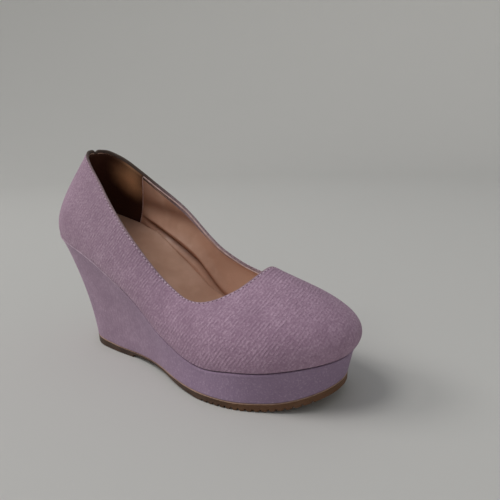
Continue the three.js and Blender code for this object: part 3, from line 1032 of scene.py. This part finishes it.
def add_wrap():
    places = SKIN_STATIONS
    at = share_of(np.abs(places))
    bottom = footprint(places)
    top = feather(places)
    out = outward(footprint, places)
    low_z = outsole_top(at) + GAP
    high_z = top[:, 2] - GAP
    steps = np.array([0, 0.15, 0.35, 0.6, 0.9, 1.3]) * MM
    height = high_z - low_z
    margin = 1.8 * MM / height
    middle = lerp(margin, 1 - margin, np.linspace(0, 1, 50)[:, None])
    share = np.vstack([steps[:, None] / height, middle, 1 - steps[::-1, None] / height])
    hollow = BACK_HOLLOW * along(WEDGE_HOLLOW, "hollow", at) * 4 * share * (1 - share)
    grid = lerp(bottom[None], top[None], share[..., None]) - out * hollow[..., None]
    grid[..., 2] = lerp(low_z, high_z, share)
    above, below = share * height, (1 - share) * height
    x, y, z = grid[..., 0], grid[..., 1], grid[..., 2]
    relief = -edge_rounding(below, 0.6 * MM) - edge_rounding(above, 0.5 * MM)
    relief += 0.14 * MM * bell(below - 1.3 * MM, 0.8 * MM)
    relief += WRAP_LIP * bell(below, 1.2 * MM) * ease(x, 0.50 * LENGTH, 0.38 * LENGTH)
    pull = np.sin(x / (8 * MM) + np.sin(z / (15 * MM))) * np.sin(z / (19 * MM) + 1.0)
    relief += WRAP_WAVE * pull * ease(below, 1 * MM, 8 * MM) * ease(above, 1 * MM, 8 * MM)
    grid = grid + out * relief[..., None]
    lid = [subside(grid[-1], drawn, lambda x: last_height(x / LENGTH) - GAP)
           for drawn in (0.1, 0.5, 1.0)]
    base = [subside(grid[0], drawn, lambda x: outsole_top(sole_share(x)) + GAP)
            for drawn in (1.0, 0.5, 0.1)]
    wrap = add_shell("wrap", np.vstack([base, grid, lid]), [LILAC_WRAP])
    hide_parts("wedge")

    # Painted highlight: the tube along the cover's top edge is coloured paler than the cloth, for the light
    # its edge catches
    seen = at < WRAP_EDGE_ENDS
    line = (top + out * 0.3 * MM)[seen]
    radius = WRAP_EDGE_RADIUS * lerp(0.1, 1, ease(at[seen], WRAP_EDGE_ENDS, WRAP_EDGE_THINS))
    add_tube("wrap_edge_highlight", line, out[seen], radius, WRAP_EDGE_HIGHLIGHT)


# Outsole

SOLE_LENGTH = LENGTH - TOE_SETBACK - HEEL_SETBACK


def sole_share(x):
    return np.clip((x - HEEL_SETBACK) / SOLE_LENGTH, 0, 1)


def sole_bottom(x):
    """Height of the tread: flat heel lug, thin arch, then a rounded groove for each rib."""
    run = x - HEEL_SETBACK
    plain = np.where(run < LUG_LENGTH, 0, outsole_underside(sole_share(x)))
    step = ease(run, LUG_LENGTH, LUG_LENGTH + 0.6 * MM)
    ribs_end = SOLE_LENGTH - RIBS_TO_TOE
    ribs_begin = ribs_end - math.floor(RIBBED_LENGTH / RIB_PITCH) * RIB_PITCH
    ribbed = (run > ribs_begin) & (run < ribs_end)
    groove = RIB_PITCH - RIB_LAND
    within = (run - ribs_begin) % RIB_PITCH
    cut = RIB_DEPTH * ease(np.abs(within - groove / 2), 0.5 * groove + 0.35 * MM, 0.15 * groove)
    return plain * np.where(run < LUG_LENGTH, 1, step) + np.where(ribbed, cut, 0)


def sole_places():
    """Shares of the length: close together at both ends, at the lug's step and over the ribs."""
    even = share_of(np.linspace(0, 1, 200)) * SOLE_LENGTH
    step = LUG_LENGTH + np.linspace(-0.4, 1.0, 8) * MM
    ribs = np.arange(SOLE_LENGTH - RIBS_TO_TOE - RIBBED_LENGTH, SOLE_LENGTH - RIBS_TO_TOE, 0.3 * MM)
    kept = even[(even < ribs[0] - 0.2 * MM) | (even > ribs[-1] + 0.2 * MM)]
    return np.unique(np.concatenate([kept, step, ribs])) / SOLE_LENGTH


def add_outsole():
    at = sole_places()
    turn = turn_of(at)
    places = np.concatenate([-turn[::-1][:-1], turn[:-1]])
    shares = np.concatenate([at[::-1][:-1], at[:-1]])
    ring = footprint(places, shares)
    ring[len(at) - 1] = [HEEL_SETBACK, 0, 0]
    out = unit(np.roll(ring, -1, axis=0) - np.roll(ring, 1, axis=0))
    out = points(out[:, 1], -out[:, 0], 0)
    top = outsole_top(shares)
    bottom = sole_bottom(ring[:, 0])
    rows = []
    lid = [subside(ring, drawn, lambda x: outsole_top(sole_share(x))) for drawn in (1.0, 0.4)]
    for share, swell in ((0.0, 0.35), (0.06, 0.1), (0.14, 0.0), (0.24, 0.0), (0.3, 0.12), (0.5, 0.12),
                         (0.75, 0.12), (0.88, 0.16), (0.95, 0.28), (1.0, 0.6)):
        level = ring - out * swell * MM
        level[:, 2] = lerp(top, bottom, share)
        rows.append(level)
    tread = []
    for share in (0.02, 0.06, 0.2, 0.4, 0.6, 0.8, 1.0):
        tread.append(subside(rows[-1], share, sole_bottom))
    grid = np.array(lid + rows + tread)[::-1]
    row_slots = np.zeros(len(grid) - 1)
    row_slots[-3:] = 1
    sole = add_shell("outsole_rubber", grid, [RUBBER, RUBBER_EDGE], row_slots=row_slots)
    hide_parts("outsole")


# Stage, light and camera

def add_stage():
    """A round floor that bends up into a low wall, plain from every side."""
    nodes = Nodes("pale_floor", roughness=0.7, specular_ior_level=0.2)
    nodes.shader.inputs["Base Color"].default_value = rgb(210, 209, 206)
    profile = [(0.4, 0.0)]
    for turn in np.linspace(0, math.pi / 2, 16):
        profile.append((FLOOR_RADIUS + FLOOR_BEND * math.sin(turn), FLOOR_BEND * (1 - math.cos(turn))))
    profile.append((FLOOR_RADIUS + FLOOR_BEND, WALL_TOP))
    rows = [[(run * math.cos(a), run * math.sin(a), rise) for run, rise in profile]
            for a in np.linspace(0, 2 * math.pi, FLOOR_SIDES, endpoint=False)]
    count = len(profile)
    vertices = np.vstack(rows).tolist()
    faces = [tuple(side * count for side in range(FLOOR_SIDES))]
    for side in range(FLOOR_SIDES):
        here = side * count
        beside = (side + 1) % FLOOR_SIDES * count
        faces += [(here + k, here + k + 1, beside + k + 1, beside + k) for k in range(count - 1)]
    mesh = bpy.data.meshes.new("floor")
    mesh.from_pydata(vertices, [], faces)
    mesh.materials.append(nodes.material)
    mesh.shade_smooth()
    floor = bpy.data.objects.new("floor", mesh)
    bpy.context.scene.collection.objects.link(floor)


def add_area_light(name, place, size, power):
    data = bpy.data.lights.new(name, "AREA")
    data.shape = "DISK"
    data.size = size
    data.energy = power
    data.color = LIGHT_COLOUR
    light = bpy.data.objects.new(name, data)
    light.location = place
    light.rotation_euler = (Vector(LIGHT_AIM) - Vector(place)).to_track_quat("-Z", "Y").to_euler()
    bpy.context.scene.collection.objects.link(light)


def add_lights():
    world = bpy.data.worlds.new("studio")
    world.use_nodes = True
    background = world.node_tree.nodes["Background"]
    background.inputs["Color"].default_value = (0.93, 0.97, 1.0, 1.0)
    background.inputs["Strength"].default_value = 0.3
    bpy.context.scene.world = world
    add_area_light("overhead", (-0.9, -1.1, 2.6), 1.2, 21.0)
    add_area_light("left_softbox", (-2.4, -1.4, 2.0), 1.6, 39.0)


def add_camera():
    turn, lift, roll = (math.radians(angle) for angle in (AZIMUTH, ELEVATION, ROLL))
    back = Vector((math.sin(turn) * math.cos(lift), -math.cos(turn) * math.cos(lift), math.sin(lift)))
    level = Vector((math.cos(turn), math.sin(turn), 0))
    over = back.cross(level)
    right = math.cos(roll) * level + math.sin(roll) * over
    up = math.cos(roll) * over - math.sin(roll) * level
    target = Vector((AXIS_X + TARGET_ALONG, AXIS_Y, TARGET_HEIGHT))
    aside = (TARGET_PIXEL[0] - IMAGE_SIDE / 2) / FOCAL_PIXELS
    down = (TARGET_PIXEL[1] - IMAGE_SIDE / 2) / FOCAL_PIXELS
    place = target - DISTANCE * (aside * right - down * up - back)
    data = bpy.data.cameras.new("photo_camera")
    data.sensor_width = SENSOR_MM
    data.lens = SENSOR_MM * FOCAL_PIXELS / IMAGE_SIDE
    data.clip_start = 0.01
    camera = bpy.data.objects.new("photo_camera", data)
    turned = Matrix((right, up, back)).transposed().to_4x4()
    camera.matrix_world = Matrix.Translation(place) @ turned
    bpy.context.scene.collection.objects.link(camera)
    bpy.context.scene.camera = camera
    bpy.context.scene.view_settings.view_transform = "Standard"


add_camera()
add_lights()
add_stage()
add_upper()
add_lining()
add_sock()
add_wrap()
add_outsole()
